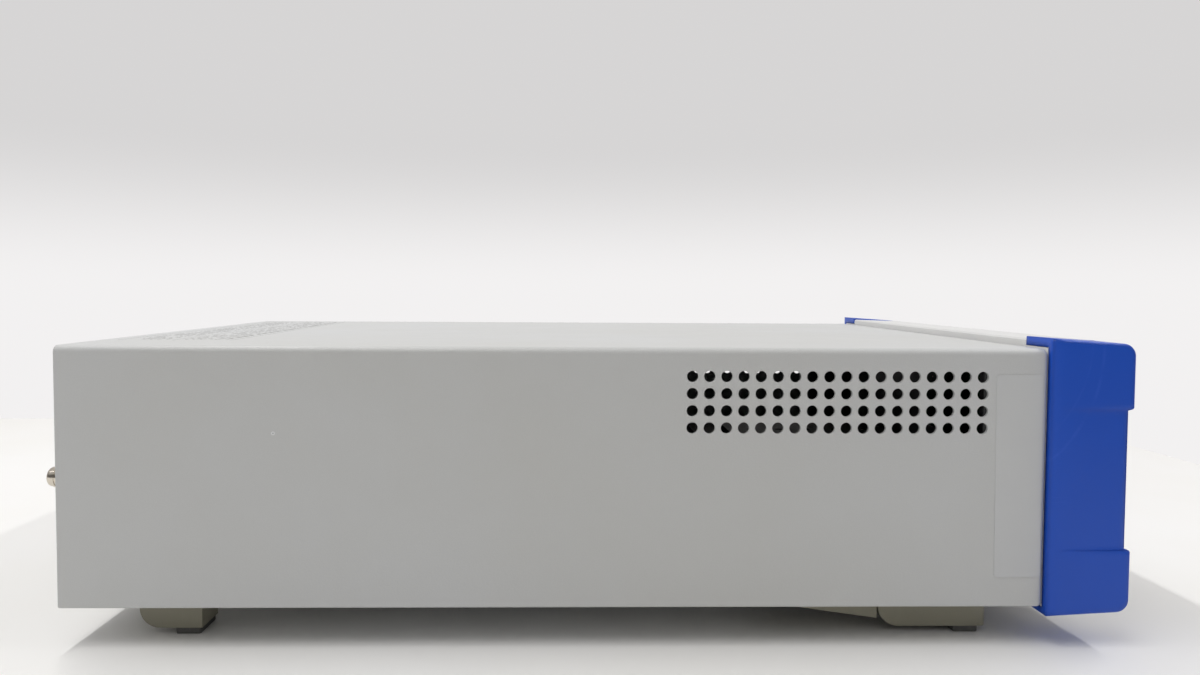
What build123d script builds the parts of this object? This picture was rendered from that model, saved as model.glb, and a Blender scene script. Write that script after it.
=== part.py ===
from build123d import *
import math
import os

# Half-rack bench frequency counter.
# Design frame while modelling: X to the right of someone facing the front panel,
# Y = 0 at the front lip of the metal sleeve and +Y towards the rear, Z = 0 on the table.
# Everything is shifted along Y at export so that the origin is the centre of the
# bounding box's bottom face.

# ---------------------------------------------------------------- driving sizes (mm)
CASE_W = 210.0          # metal sleeve, outside width
CASE_H = 91.5           # metal sleeve, outside height
CASE_L = 345.0          # metal sleeve, front lip to rear face
SHEET = 1.2             # sleeve sheet thickness
BEND = 2.4              # outer bend radius of the sleeve along its top
LOW_BEND = 0.8          # outer bend radius along its underside
LIP = 3.2               # inward lip at the sleeve's front mouth
REAR_FLANGE = 13.0      # inward flange at the sleeve's rear

FOOT_H = 11.6           # foot moulding below the sleeve
PAD_H = 2.4             # rubber pad below the foot
ZB = FOOT_H + PAD_H     # underside of the sleeve
ZT = ZB + CASE_H        # top of the sleeve

VENT_PITCH = 6.0
VENT_R = 2.0
VENT_COLS = 18
VENT_ROWS = 4
VENT_Y0 = 23.3          # foremost column
VENT_TOP = 10.0         # first row below the sleeve's top

BUMPER_X0 = 90.0        # inner edge of the corner bumpers
BUMPER_X1 = 107.5       # outer face of the bumpers
BUMPER_Y = -29.2        # front of the bumper ears
BUMPER_MID_Y = -27.1    # front of the bumper between the ears
EAR_H = 20.8            # ear height measured from the sleeve's top and bottom planes
BUMPER_TOP_R, BUMPER_TOP_F = 3.8, 1.9     # bumper top above the sleeve, at rear and front
BUMPER_BOT_R, BUMPER_BOT_F = 2.6, 1.0     # bumper bottom below the sleeve, at rear and front

BEZEL_RIM_Y = -27.0     # front of the bezel's rim
PANEL_Y = -25.0         # front panel face
PANEL_T = 2.5           # front wall thickness
BEZEL_TOP = 3.0         # bezel above the sleeve

KEY_PROUD = 2.0         # key face above the panel
KEY_TRAVEL = 1.0
KEY_GAP = 0.35

BNC_OUT = 12.2          # jack nose beyond the panel it is fitted to
BNC_R = 4.8             # jack barrel radius
BNC_BORE = 4.1

REAR_PANEL_Y = 343.8    # outer face of the rear panel
REAR_PANEL_T = 1.2

FAN = 60.0
FAN_X, FAN_V = 58.0, 46.0
INLET_X, INLET_V = -58.0, 40.0

FOOT_X0, FOOT_X1 = 79.0, 93.0     # inner and outer side of each foot
PIVOT_Y = 46.6
PIVOT_Z = ZB - 4.0
PIVOT_R = FOOT_H - 4.0  # round heel of the front foot about the leg's pivot
KNUCKLE_R = 2.7
PIN_R = 1.5
LEG_END = 99.0

Y_FRONT = PANEL_Y - BNC_OUT                    # foremost point of the part
Y_REAR = REAR_PANEL_Y + BNC_OUT + 1.5          # rearmost point of the part
Y_SHIFT = -(Y_FRONT + Y_REAR) / 2

os.makedirs("parts", exist_ok=True)


# ---------------------------------------------------------------- helpers
def bx(x0, x1, y0, y1, z0, z1):
    return Pos((x0 + x1) / 2, (y0 + y1) / 2, (z0 + z1) / 2) * Box(abs(x1 - x0), abs(y1 - y0), abs(z1 - z0))


def cy(x, z, r, y0, y1):
    """Cylinder along Y."""
    return Pos(x, (y0 + y1) / 2, z) * Rot(90, 0, 0) * Cylinder(r, abs(y1 - y0))


def cx(y, z, r, x0, x1):
    """Cylinder along X."""
    return Pos((x0 + x1) / 2, y, z) * Rot(0, 90, 0) * Cylinder(r, abs(x1 - x0))


def cz(x, y, r, z0, z1):
    """Cylinder along Z."""
    return Pos(x, y, (z0 + z1) / 2) * Cylinder(r, abs(z1 - z0))


def rbox(x0, x1, y0, y1, z0, z1, r, axis=Axis.Y):
    """Box with its four edges along one axis rounded."""
    b = bx(x0, x1, y0, y1, z0, z1)
    return fillet(b.edges().filter_by(axis), r)


def soft_fillet(shape, edges, radii):
    """Rounds edges with the first radius that works."""
    for r in radii:
        try:
            out = fillet(edges, r)
            if out.is_valid and out.volume > 0:
                return out
        except Exception:
            continue
    print("a fillet was left out")
    return shape


def hex_y(x, z, af, y0, y1):
    """Hexagonal prism along Y, by its size across flats."""
    s = Plane.XZ.offset(-y0) * Pos(x, z) * RegularPolygon(af / 2, 6, major_radius=False)
    return extrude(s, amount=-(y1 - y0))


def yz_prism(points, x0, x1):
    """Closed polygon of (y, z) points, extruded along X."""
    face = make_face(Polyline([(x0, y, z) for y, z in points], close=True))
    return extrude(face, amount=x1 - x0, dir=(1, 0, 0))


def xz_prism(points, y0, y1):
    """Closed polygon of (x, z) points, extruded along Y."""
    face = make_face(Polyline([(x, y0, z) for x, z in points], close=True))
    return extrude(face, amount=y1 - y0, dir=(0, 1, 0))


def mirror_x(shape):
    return mirror(shape, about=Plane.YZ)


def group(items):
    """Separate solids in one node."""
    solids = []
    for i in items:
        solids += list(i.solids())
    return Compound(children=solids)


NODES = {}


def put(name, shape):
    NODES[name] = shape
    return shape


def zv(v):
    """Height above the sleeve's underside to Z."""
    return ZB + v


# ---------------------------------------------------------------- metal sleeve
HW = CASE_W / 2
sleeve = bx(-HW, HW, 0, CASE_L, ZB, ZT)
sleeve = fillet(sleeve.edges().filter_by(Axis.Y).filter_by(lambda e: e.center().Z > ZT - 1), BEND)
sleeve = fillet(sleeve.edges().filter_by(Axis.Y).filter_by(lambda e: e.center().Z < ZB + 1 and abs(e.center().X) > HW - 1), LOW_BEND)
front_edges = sleeve.edges().filter_by(lambda e: abs(e.center().Y) < 1e-3)
sleeve = soft_fillet(sleeve, front_edges, (2.0, 1.6, 1.2, 0.7))
rear_edges = sleeve.edges().filter_by(lambda e: abs(e.center().Y - CASE_L) < 1e-3)
sleeve = soft_fillet(sleeve, rear_edges, (0.5, 0.4))
sleeve -= rbox(-HW + SHEET, HW - SHEET, SHEET, CASE_L - SHEET, ZB + SHEET, ZT - SHEET, BEND - SHEET)
sleeve -= rbox(-HW + LIP, HW - LIP, -5, 10, ZB + LIP, ZT - LIP, 2.0)
sleeve -= rbox(-HW + REAR_FLANGE, HW - REAR_FLANGE, CASE_L - 5, CASE_L + 5, ZB + 6, ZT - 6, 2.0)
vent_tools = []
for i in range(VENT_COLS):
    for j in range(VENT_ROWS):
        vent_tools.append(cx(VENT_Y0 + i * VENT_PITCH, ZT - VENT_TOP - j * VENT_PITCH, VENT_R, HW - 4, HW + 4))
        vent_tools.append(cx(VENT_Y0 + i * VENT_PITCH, ZT - VENT_TOP - j * VENT_PITCH, VENT_R, -HW - 4, -HW + 4))
# holes for the rear fixing screws, the rack bracket screws under the side labels and the feet
FIX_X, FIX_V = 98.5, 44.8
RACK_V = (20.0, 71.5)
RACK_Y = 10.0
FOOT_SCREWS = [(sx * 86.0, y) for sx in (-1, 1) for y in (30.0, 309.5)]
for sx in (-1, 1):
    vent_tools.append(cy(sx * FIX_X, zv(FIX_V), 2.15, CASE_L - 4, CASE_L + 3))
    for v in RACK_V:
        vent_tools.append(cx(RACK_Y, zv(v), 2.2, sx * (HW - 4), sx * (HW + 4)))
for x, y in FOOT_SCREWS:
    vent_tools.append(cz(x, y, 2.15, ZB - 3, ZB + 4))
sleeve -= vent_tools
put("cover_sleeve", sleeve)

# blank labels that cover the rack bracket screw holes, each put on very slightly out of square
lab = rbox(HW, HW + 0.2, 1.95, 18.25, zv(10.8), zv(82.5), 0.9, Axis.X)
lab = Pos(HW, 10.1, zv(46.65)) * Rot(-0.55, 0, 0) * Pos(-HW, -10.1, -zv(46.65)) * lab
put("side_labels", group([lab, mirror_x(lab)]))

# ---------------------------------------------------------------- corner bumpers
def bumper_profile(inset=0.0):
    t0, t1 = ZT + BUMPER_TOP_R - inset, ZT + BUMPER_TOP_F - inset
    b0, b1 = ZB - BUMPER_BOT_R + inset, ZB - BUMPER_BOT_F + inset
    yf, ym = BUMPER_Y + inset, BUMPER_MID_Y + inset
    return [(0, b0), (yf, b1), (yf, ZB + EAR_H), (ym, ZB + EAR_H + 0.5),
            (ym, ZT - EAR_H - 0.5), (yf, ZT - EAR_H), (yf, t1), (0, t0)]


bumper = yz_prism(bumper_profile(), BUMPER_X0, BUMPER_X1)
along_x = bumper.edges().filter_by(Axis.X)
corners = along_x.filter_by(lambda e: e.center().Y < BUMPER_Y + 0.1 and (e.center().Z > ZT or e.center().Z < ZB))
bumper = fillet(corners, 4.5)
along_x = bumper.edges().filter_by(Axis.X)
ear_lips = along_x.filter_by(lambda e: e.center().Y < BUMPER_Y + 0.1 and ZB + 10 < e.center().Z < ZT - 10)
bumper = fillet(ear_lips, 0.9)
# the side between the ears falls away slightly towards the front
recess = Polyline([(BUMPER_X1 + 0.001, -2.0), (BUMPER_X1 + 3, -2.0), (BUMPER_X1 + 3, -40.0),
                   (BUMPER_X1 - 0.8, -40.0), (BUMPER_X1 - 0.65, -29.0)], close=True)
recess = extrude(Pos(0, 0, ZB + EAR_H) * make_face(recess), amount=CASE_H - 2 * EAR_H, dir=(0, 0, 1))
outer = bumper.edges().filter_by(lambda e: abs(e.center().X - BUMPER_X1) < 1e-3
                                 and (e.center().Z > ZT - EAR_H + 2 or e.center().Z < ZB + EAR_H - 2))
bumper = soft_fillet(bumper, outer, (1.4, 1.2, 0.8))
bumper -= recess
# the side slopes in a little over its last stretch to the rear
slope = Polyline([(BUMPER_X1 + 0.001, -3.4), (BUMPER_X1 + 3, -3.4), (BUMPER_X1 + 3, 1.0), (BUMPER_X1 - 0.57, 1.0), (BUMPER_X1 - 0.45, 0.0)], close=True)
bumper -= extrude(Pos(0, 0, ZB - 10) * make_face(slope), amount=CASE_H + 20, dir=(0, 0, 1))
top_inner = bumper.edges().filter_by(lambda e: abs(e.center().X - BUMPER_X0) < 1e-3 and (e.center().Z > ZT or e.center().Z < ZB)
                                     and e.length > 15)
bumper = soft_fillet(bumper, top_inner, (0.6, 0.4))
POCKET_X1 = BUMPER_X1 - 3.4
bumper -= bx(BUMPER_X0 - 5, POCKET_X1, BUMPER_MID_Y + 3.1, 5, ZB - 0.4, ZT + 0.6)
put("bumper_right", bumper)
put("bumper_left", mirror_x(bumper))

# ---------------------------------------------------------------- front bezel
gap = 0.15
bez_pts = [(0, ZB - 2.4), (BEZEL_RIM_Y, ZB - 1.2), (BEZEL_RIM_Y, ZT + 2.2), (0, ZT + BEZEL_TOP)]
bezel = yz_prism(bez_pts, -BUMPER_X0 + gap, BUMPER_X0 - gap)
front_long = bezel.edges().filter_by(Axis.X).filter_by(lambda e: e.center().Y < BEZEL_RIM_Y + 0.1)
bezel = fillet(front_long, 2.2)
rear_long = bezel.edges().filter_by(Axis.X).filter_by(lambda e: abs(e.center().Y) < 0.1)
bezel = chamfer(rear_long, 0.7)
ends = bx(-POCKET_X1 + 0.3, POCKET_X1 - 0.3, BUMPER_MID_Y + 3.3, 0, ZB - 0.2, ZT + 0.4)
bezel += ends
# recessed panel face inside the rim
bezel -= rbox(-86.5, 86.5, BEZEL_RIM_Y - 5, PANEL_Y, zv(2.5), zv(89.5), 3.0)
# hollow behind the front wall
bezel -= bx(-101.0, 101.0, BUMPER_MID_Y + 5.9, 5, zv(2.2), zv(89.3))
bezel -= bx(-87.5, 87.5, PANEL_Y + PANEL_T, 5, zv(2.2), zv(89.3))
WIN = (-82.0, 14.0, 43.0, 84.0)          # display window x0, x1, v0, v1
bezel -= rbox(WIN[0], WIN[1], -40, -10, zv(WIN[2]), zv(WIN[3]), 2.0)
bezel -= rbox(WIN[0] - 2, WIN[1] + 2, -23.8, -10, zv(WIN[2] - 2), zv(WIN[3] + 2), 2.0)

KEY_X = [28.5 + 16.0 * i for i in range(4)]
KEY_V = [77.5, 64.0, 50.5]
KEY_W, KEY_H = 11.6, 8.4
KEY_NAMES = [["key_7", "key_8", "key_9", "key_menu"],
             ["key_4", "key_5", "key_6", "key_0"],
             ["key_1", "key_2", "key_3", "key_enter"]]
for v in KEY_V:
    for x in KEY_X:
        bezel -= rbox(x - KEY_W / 2 - KEY_GAP, x + KEY_W / 2 + KEY_GAP, -40, -10, zv(v) - KEY_H / 2 - KEY_GAP,
                      zv(v) + KEY_H / 2 + KEY_GAP, 1.8)
STBY_X, STBY_V, STBY_R = -74.0, 19.0, 5.2
bezel -= cy(STBY_X, zv(STBY_V), STBY_R + KEY_GAP, -40, -10)
JACKS = {"a": (-42.0, 19.0), "b": (-8.0, 19.0)}
C_JACK = (30.0, 19.0)
for x, v in JACKS.values():
    bezel -= cy(x, zv(v), 6.3, -40, -10)
bezel -= cy(C_JACK[0], zv(C_JACK[1]), 8.3, -40, -10)
LEDS = [(-42.0, 33.5), (-8.0, 33.5), (30.0, 33.5), (-74.0, 30.5), (56.0, 12.0), (68.0, 12.0), (80.0, 12.0)]
for x, v in LEDS:
    bezel -= cy(x, zv(v), 1.6, -40, -10)
put("front_bezel", bezel)

# indicator lenses
put("indicator_lenses", group([cy(x, zv(v), 1.5, PANEL_Y - 0.4, PANEL_Y + 5.8) for x, v in LEDS]))

# display window, module and board
put("display_window", rbox(WIN[0] - 1.8, WIN[1] + 1.8, -23.8, -22.0, zv(WIN[2] - 1.8), zv(WIN[3] + 1.8), 1.8))
lcd = rbox(WIN[0] + 0.5, WIN[1] - 0.5, -21.8, -18.6, zv(WIN[2] + 0.5), zv(WIN[3] - 0.5), 1.0)
lcd -= bx(WIN[0] + 4, WIN[1] - 4, -25, -21.4, zv(WIN[2] + 4), zv(WIN[3] - 4))
put("lcd_module", lcd)
BOARD_Y0, BOARD_Y1 = -18.4, -16.8
dboard = bx(-86, 86, BOARD_Y0, BOARD_Y1, zv(40.0), zv(87.5)) + bx(-86, -64, BOARD_Y0, BOARD_Y1, zv(8), zv(40.0)) \
    + bx(46, 86, BOARD_Y0, BOARD_Y1, zv(8), zv(40.0)) + bx(-64, 46, BOARD_Y0, BOARD_Y1, zv(29), zv(40.0))
for x, v in [(-83, 84.5), (83, 84.5), (-83, 11), (83, 11), (17.5, 42.5)]:
    dboard -= cy(x, zv(v), 1.6, -25, -10)
put("display_board", dboard)

# silicone mat under the keys
mat = rbox(20.0, 85.5, BOARD_Y0 - 1.0, BOARD_Y0, zv(44.0), zv(85.0), 1.5)
put("keypad_mat", mat)

for row, names in enumerate(KEY_NAMES):
    for col, name in enumerate(names):
        x, v = KEY_X[col], KEY_V[row]
        k = rbox(x - KEY_W / 2, x + KEY_W / 2, PANEL_Y - KEY_PROUD, BOARD_Y0 - 2.2, zv(v) - KEY_H / 2, zv(v) + KEY_H / 2, 1.5)
        face = k.faces().sort_by(Axis.Y)[0]
        k = fillet(face.edges(), 0.7)
        k += rbox(x - KEY_W / 2 - 0.9, x + KEY_W / 2 + 0.9, PANEL_Y + PANEL_T + 0.2, BOARD_Y0 - 2.2, zv(v) - KEY_H / 2 - 0.9,
                  zv(v) + KEY_H / 2 + 0.9, 1.0)
        put(name, k)
stby = cy(STBY_X, zv(STBY_V), STBY_R, PANEL_Y - KEY_PROUD, BOARD_Y0 - 1.4)
stby = fillet(stby.edges().sort_by(Axis.Y)[0], 0.8)
stby += cy(STBY_X, zv(STBY_V), STBY_R + 1.2, PANEL_Y + PANEL_T + 0.2, BOARD_Y0 - 1.4)
put("standby_key", stby)


# ---------------------------------------------------------------- coaxial jacks
def bnc(x, z, panel_y, wall, out, sign):
    """BNC jack through a panel. sign -1 points forward, +1 points to the rear. wall is the panel thickness behind panel_y."""
    s = sign
    def Y(d):
        return panel_y + s * d
    body = cy(x, z, BNC_R, Y(out - 0.3), Y(out - 4.1)) + cy(x, z, BNC_R - 0.1, Y(out - 4.1), Y(2.4)) \
        + cy(x, z, BNC_R - 0.3, Y(out), Y(out - 0.4)) + cy(x, z, 6.0, Y(3.4), Y(-wall - 0.05)) + cy(x, z, 7.6, Y(-wall - 0.05), Y(-wall - 3.0)) \
        + cy(x, z, 5.0, Y(-wall - 3.0), Y(-wall - 12.0))
    body = body - cy(x, z, BNC_BORE, Y(out + 1), Y(out - 8.2))
    for sx in (-1, 1):
        body += cx(Y(out - 5.2), z, 1.0, x + sx * 4.5, x + sx * 5.5)
    body -= cy(x, z, 1.7, Y(-wall - 6.0), Y(out - 8.0))
    ins = cy(x, z, 2.35, Y(out - 1.6), Y(out - 8.2)) - cy(x, z, 1.1, Y(out), Y(out - 9))
    pin = cy(x, z, 1.05, Y(out - 2.4), Y(-wall - 6.0)) - cy(x, z, 0.5, Y(out), Y(out - 7))
    nut = hex_y(x, z, 14.0, min(Y(0.6), Y(3.0)), max(Y(0.6), Y(3.0))) - cy(x, z, 6.05, Y(-1), Y(8))
    washer = cy(x, z, 8.0, Y(0.0), Y(0.6)) - cy(x, z, 6.1, Y(-1), Y(4))
    return body, ins, pin, nut, washer


insulators, contacts, nuts, front_bodies = [], [], [], []
for name, (x, v) in JACKS.items():
    b, i, p, n, w = bnc(x, zv(v), PANEL_Y, PANEL_T, BNC_OUT, -1)
    front_bodies.append(b)
    insulators.append(i), contacts.append(p), nuts.append(n), nuts.append(w)
put("input_ab_jacks", group(front_bodies))
# larger threaded jack for the high-frequency input
x, z = C_JACK[0], zv(C_JACK[1])
cj = cy(x, z, 7.9, PANEL_Y - BNC_OUT, PANEL_Y + PANEL_T + 0.05) + cy(x, z, 10.0, PANEL_Y + PANEL_T + 0.05, PANEL_Y + PANEL_T + 3.0) \
    + cy(x, z, 5.0, PANEL_Y + PANEL_T + 3.0, PANEL_Y + PANEL_T + 12.0)
for k in range(6):
    y0 = PANEL_Y - BNC_OUT + 1.0 + 1.2 * k
    cj -= cy(x, z, 8.5, y0, y0 + 0.45) - cy(x, z, 7.45, y0 - 1, y0 + 2)
cj -= cy(x, z, 6.0, PANEL_Y - BNC_OUT - 1, PANEL_Y - BNC_OUT + 9.0) - cy(x, z, 4.9, PANEL_Y - BNC_OUT - 2, PANEL_Y - BNC_OUT + 10)
cj -= cy(x, z, 4.1, PANEL_Y - BNC_OUT - 1, PANEL_Y - BNC_OUT + 9.0)
cj -= cy(x, z, 1.9, PANEL_Y - BNC_OUT + 8, PANEL_Y + PANEL_T + 7.0)
put("input_c_jack", cj)
insulators.append(cy(x, z, 2.6, PANEL_Y - BNC_OUT + 5, PANEL_Y - BNC_OUT + 9.0) - cy(x, z, 1.6, -60, 0))
contacts.append(cy(x, z, 1.5, PANEL_Y - BNC_OUT + 2.5, PANEL_Y + PANEL_T + 7.0) - cy(x, z, 0.8, PANEL_Y - BNC_OUT, PANEL_Y - BNC_OUT + 7))
nuts.append(hex_y(x, z, 19.0, PANEL_Y - 3.4, PANEL_Y - 0.8) - cy(x, z, 7.95, -60, 0))
nuts.append(cy(x, z, 10.6, PANEL_Y - 0.8, PANEL_Y) - cy(x, z, 8.0, -60, 0))

# ---------------------------------------------------------------- rear panel and what it carries
RP0, RP1 = REAR_PANEL_Y - REAR_PANEL_T, REAR_PANEL_Y
panel = rbox(-102.5, 102.5, RP0, RP1 - 0.1, zv(3.4), zv(88.1), 2.0)
panel_cut = [cy(FAN_X, zv(FAN_V), 28.0, 330, 350)]
for sx in (-1, 1):
    for sz in (-1, 1):
        panel_cut.append(cy(FAN_X + sx * 25, zv(FAN_V) + sz * 25, 2.15, 330, 350))
    panel_cut.append(cy(sx * FIX_X, zv(FIX_V), 2.1, 330, 350))
REAR_JACKS = [(-26.0, 20.0), (-5.0, 20.0), (16.0, 20.0)]
for x, v in REAR_JACKS:
    panel_cut.append(cy(x, zv(v), 6.3, 330, 350))
GPIB_X, GPIB_V = -5.0, 66.0
panel_cut.append(rbox(GPIB_X - 21.5, GPIB_X + 21.5, 330, 350, zv(GPIB_V) - 6.8, zv(GPIB_V) + 6.8, 2.0))
for sx in (-1, 1):
    panel_cut.append(cy(GPIB_X + sx * 26.0, zv(GPIB_V), 2.1, 330, 350))
USB_X, USB_V = -5.0, 43.0
panel_cut.append(bx(USB_X - 6.4, USB_X + 6.4, 330, 350, zv(USB_V) - 5.9, zv(USB_V) + 5.9))
panel_cut.append(rbox(INLET_X - 14.2, INLET_X + 14.2, 330, 350, zv(INLET_V) - 19.2, zv(INLET_V) + 19.2, 1.0))
GND_X, GND_V = -58.0, 74.0
panel_cut.append(cy(GND_X, zv(GND_V), 2.1, 330, 350))
panel -= panel_cut
panel += bx(-101.0, 101.0, RP0 - 10.0, RP0 + 0.2, zv(3.4), zv(4.6))
put("rear_panel", panel)

rear_bodies = []
for x, v in REAR_JACKS:
    b, i, p, n, w = bnc(x, zv(v), REAR_PANEL_Y - 0.1, REAR_PANEL_T, BNC_OUT + 1.6, 1)
    rear_bodies.append(b)
    insulators.append(i), contacts.append(p), nuts.append(n), nuts.append(w)
put("rear_jacks", group(rear_bodies))
put("jack_insulators", group(insulators))
put("jack_contacts", group(contacts))
put("jack_nuts", group(nuts))

# cooling fan
FY0, FY1 = RP0 - 20.2, RP0 - 0.2
fx, fz = FAN_X, zv(FAN_V)
frame = rbox(fx - 30, fx + 30, FY0, FY1, fz - 30, fz + 30, 3.0)
frame -= cy(fx, fz, 28.2, FY0 - 1, FY1 + 1)
for sx in (-1, 1):
    for sz in (-1, 1):
        frame -= cy(fx + sx * 25, fz + sz * 25, 2.2, FY0 - 1, FY1 + 1)
frame += cy(fx, fz, 13.0, FY0, FY0 + 2.0) + cy(fx, fz, PIN_R, FY0 + 1.5, FY1 - 3.5)
for a in (45, 165, 285):
    frame += Pos(fx, 0, fz) * Rot(0, a, 0) * bx(12, 28.6, FY0, FY0 + 2.0, -1.6, 1.6)
put("fan_frame", frame)
rotor = cy(0, 0, 13.0, FY0 + 3.0, FY1 - 1.2)
rotor = fillet(rotor.edges().filter_by(GeomType.CIRCLE).sort_by(Axis.Y)[-1], 1.0)
for k in range(7):
    blade = Rot(0, 360 / 7 * k, 0) * (Pos(19.8, (FY0 + FY1) / 2 + 1.2, 0) * Rot(38, 0, 0) * Box(15.0, 15.5, 1.3))
    rotor += blade
rotor = rotor & cy(0, 0, 27.2, FY0 + 2.6, FY1 - 0.9)
rotor -= cy(0, 0, PIN_R + 0.05, FY0, FY1 - 3.3)
put("fan_rotor", Pos(fx, 0, fz) * rotor)

# wire finger guard outside the panel
GY = REAR_PANEL_Y - 0.1
rings = []
for r in (7.0, 13.5, 20.0, 26.5):
    rings.append(Pos(fx, GY + 2.6, fz) * Rot(90, 0, 0) * Torus(r, 0.8))
guard = rings[0] + rings[1] + rings[2] + rings[3]
for a in (45, 135):
    bar = cx(GY + 1.1, 0, 0.8, -31.6, 31.6)
    guard += Pos(fx, 0, fz) * Rot(0, a, 0) * bar
for sx in (-1, 1):
    for sz in (-1, 1):
        guard += (cy(fx + sx * 25, fz + sz * 25, 4.4, GY, GY + 1.6) - cy(fx + sx * 25, fz + sz * 25, 2.2, GY - 1, GY + 3))
        guard -= cy(fx + sx * 25, fz + sz * 25, 2.2, GY - 1, GY + 3)
put("fan_guard", guard)

# mains inlet with a fuse drawer above the plug socket
ix, iz = INLET_X, zv(INLET_V)
inlet = rbox(ix - 16, ix + 16, GY, GY + 2.4, iz - 22, iz + 22, 2.0) + rbox(ix - 14, ix + 14, GY - 24.0, GY + 0.1, iz - 19, iz + 19, 0.8)
SOCK_V = -7.0                            # socket centre below the inlet's centre
sock = [(ix - 12.1, iz + SOCK_V - 8.2), (ix + 12.1, iz + SOCK_V - 8.2), (ix + 12.1, iz + SOCK_V + 4.2), (ix + 8.1, iz + SOCK_V + 8.2),
        (ix - 8.1, iz + SOCK_V + 8.2), (ix - 12.1, iz + SOCK_V + 4.2)]
inlet -= xz_prism(sock, GY - 16.5, GY + 5)
DRAW_V = 11.0
inlet -= bx(ix - 11.0, ix + 11.0, GY - 21.0, GY + 5, iz + DRAW_V - 5.0, iz + DRAW_V + 5.0)
inlet -= rbox(ix - 12.5, ix + 12.5, GY + 1.0, GY + 5, iz + DRAW_V - 6.5, iz + DRAW_V + 6.5, 1.0)
PINS = [(-7.0, -1.0), (7.0, -1.0), (0.0, 3.0)]
for px, pv in PINS:
    inlet -= bx(ix + px - 1.05, ix + px + 1.05, GY - 30, GY - 10, iz + SOCK_V + pv - 2.05, iz + SOCK_V + pv + 2.05)
put("mains_inlet", inlet)
put("inlet_pins", group([bx(ix + px - 1.0, ix + px + 1.0, GY - 32, GY - 2.0, iz + SOCK_V + pv - 2.0, iz + SOCK_V + pv + 2.0) for px, pv in PINS]))
drawer = bx(ix - 10.8, ix + 10.8, GY - 19.0, GY + 1.2, iz + DRAW_V - 4.8, iz + DRAW_V + 4.8) \
    + rbox(ix - 12.3, ix + 12.3, GY + 1.2, GY + 2.6, iz + DRAW_V - 6.3, iz + DRAW_V + 6.3, 0.8)
drawer -= bx(ix - 8.5, ix + 8.5, GY - 17.5, GY - 2.0, iz + DRAW_V - 3.2, iz + DRAW_V + 6)
drawer -= bx(ix - 4.0, ix + 4.0, GY + 2.0, GY + 4, iz + DRAW_V + 3.6, iz + DRAW_V + 8)
put("fuse_drawer", drawer)

# instrument bus connector
gx, gz = GPIB_X, zv(GPIB_V)
shell = [(gx - 20.6, gz - 4.6), (gx + 20.6, gz - 4.6), (gx + 19.2, gz + 4.6), (gx - 19.2, gz + 4.6)]
shell_in = [(gx - 19.8, gz - 3.9), (gx + 19.8, gz - 3.9), (gx + 18.5, gz + 3.9), (gx - 18.5, gz + 3.9)]
gp = xz_prism(shell, GY - 9, GY + 5.5) + rbox(gx - 31, gx + 31, GY, GY + 1.2, gz - 6.6, gz + 6.6, 2.0)
gp -= xz_prism(shell_in, GY - 2.0, GY + 8)
for sx in (-1, 1):
    gp -= cy(gx + sx * 26.0, gz, 2.05, GY - 5, GY + 5)
put("bus_connector", gp)
put("bus_connector_core", bx(gx - 16.5, gx + 16.5, GY - 2.0, GY + 4.2, gz - 1.5, gz + 1.5))

# USB type B socket
ux, uz = USB_X, zv(USB_V)
usb = bx(ux - 6.0, ux + 6.0, GY - 14.0, GY + 1.4, uz - 5.5, uz + 5.5)
usb -= xz_prism([(ux - 4.3, uz - 3.9), (ux + 4.3, uz - 3.9), (ux + 4.3, uz + 2.0), (ux + 2.6, uz + 3.9), (ux - 2.6, uz + 3.9), (ux - 4.3, uz + 2.0)],
                GY - 8.0, GY + 5)
usb += bx(ux - 2.8, ux + 2.8, GY - 9.0, GY - 0.6, uz - 1.6, uz + 1.6)
put("usb_socket", usb)

# ---------------------------------------------------------------- chassis
tray = bx(-101.0, 101.0, 3.4, RP0 - 0.2, zv(3.4), zv(4.6))
tray += bx(-101.0, -99.8, 3.4, RP0 - 0.2, zv(3.4), zv(16.0)) + bx(99.8, 101.0, 3.4, RP0 - 0.2, zv(3.4), zv(16.0))
BOARD_V = 12.0
STAND = [(-90, 75), (-90, 200), (0, 75), (0, 200), (90, 75), (90, 200)]
PSU_STAND = [(-92, 222), (-92, 308), (-30, 222), (-30, 308)]
panel_fix = bx(-101.0, 101.0, RP0 - 10.0, RP0 + 0.3, zv(3.3), zv(4.7))
tray -= panel_fix
put("chassis_tray", tray)
posts = []
for x, y in STAND + PSU_STAND:
    posts.append(hex_y(0, 0, 5.5, 0, BOARD_V - 4.6))
posts = [Pos(x, y, zv(4.6)) * Rot(90, 0, 0) * p for (x, y), p in zip(STAND + PSU_STAND, posts)]
put("standoffs", group(posts))

# front subpanel: a plate behind the bezel with flanges running back along both sides
sub = bx(-102.6, 102.6, 1.4, 2.6, zv(5.0), zv(88.0))
for sx in (-1, 1):
    sub += bx(sx * 102.6, sx * 103.5, 1.4, 22.1, zv(5.0), zv(88.0))
sub -= rbox(WIN[0] + 20, WIN[1] - 20, -5, 5, zv(50), zv(80), 2.0)
for x, v in list(JACKS.values()) + [C_JACK]:
    sub -= cy(x, zv(v), 11.0, -5, 5)
sub -= rbox(50, 90, -5, 5, zv(20), zv(80), 3.0)
put("front_subpanel", sub)

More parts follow.
